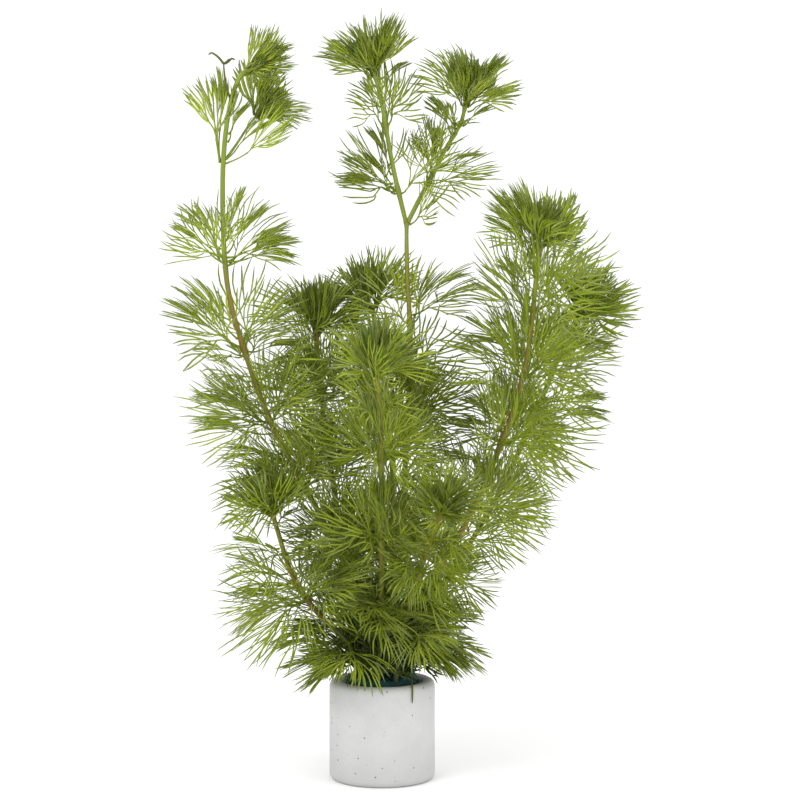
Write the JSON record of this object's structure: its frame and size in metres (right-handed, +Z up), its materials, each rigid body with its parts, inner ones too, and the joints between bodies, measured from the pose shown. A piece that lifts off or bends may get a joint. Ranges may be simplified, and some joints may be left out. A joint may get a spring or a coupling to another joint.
{
  "type": "potted cabomba aquarium plant",
  "caption": "Bunch of cabomba stems with whorls of fan-shaped leaves, held by foam in a small white ceramic pot that stands on its flat foot.",
  "frame": {"origin": "centre of the pot's flat foot, on the surface that it stands on", "axes": "+Z up along the pot's axis, +X to the right and -Y towards the viewer in the front view"},
  "size_m": [0.1222, 0.0679, 0.1883],
  "materials": {
    "white_ceramic": "matt porous white ceramic with small dark specks and pits",
    "foam": "dark blue-green open-cell foam",
    "stem": "smooth yellow-green plant stem with orange-brown tints",
    "leaf": "soft green leaf threads, darker at the tips"
  },
  "bodies": {
    "root": {"crown_back_centre": "leaf", "crown_centre_tall_left_branch": "leaf", "crown_centre_tall_right_branch": "leaf", "crown_far_right": "leaf", "crown_front_centre": "leaf", "crown_front_rosette": "leaf", "crown_left_tall": "leaf", "crown_left_tall_side_shoot": "leaf", "crown_low_left": "leaf", "crown_mid_left": "leaf", "crown_right_main": "leaf", "foam": "foam", "leaves_back_centre_1": "leaf", "leaves_back_centre_2": "leaf", "leaves_back_centre_3": "leaf", "leaves_centre_tall_1": "leaf", "leaves_centre_tall_2": "leaf", "leaves_centre_tall_3": "leaf", "leaves_centre_tall_left_branch_1": "leaf", "leaves_centre_tall_left_branch_2": "leaf", "leaves_centre_tall_right_branch_1": "leaf", "leaves_far_right_1": "leaf", "leaves_far_right_2": "leaf", "leaves_far_right_3": "leaf", "leaves_far_right_4": "leaf", "leaves_front_centre_1": "leaf", "leaves_front_centre_2": "leaf", "leaves_front_centre_3": "leaf", "leaves_front_rosette_1": "leaf", "leaves_front_rosette_2": "leaf", "leaves_left_tall_1": "leaf", "leaves_left_tall_2": "leaf", "leaves_left_tall_3": "leaf", "leaves_left_tall_4": "leaf", "leaves_left_tall_5": "leaf", "leaves_left_tall_6": "leaf", "leaves_low_left_1": "leaf", "leaves_low_left_2": "leaf", "leaves_mid_left_1": "leaf", "leaves_mid_left_2": "leaf", "leaves_mid_left_3": "leaf", "leaves_right_main_1": "leaf", "leaves_right_main_2": "leaf", "leaves_right_main_3": "leaf", "leaves_right_main_4": "leaf", "leaves_right_main_5": "leaf", "leaves_right_main_6": "leaf", "pot": "white_ceramic", "stem_back_centre": "stem", "stem_centre_tall": "stem", "stem_centre_tall_left_branch": "stem", "stem_centre_tall_right_branch": "stem", "stem_far_right": "stem", "stem_front_centre": "stem", "stem_front_rosette": "stem", "stem_left_tall": "stem", "stem_left_tall_side_shoot": "stem", "stem_low_left": "stem", "stem_mid_left": "stem", "stem_right_main": "stem"}
  },
  "joints": []
}
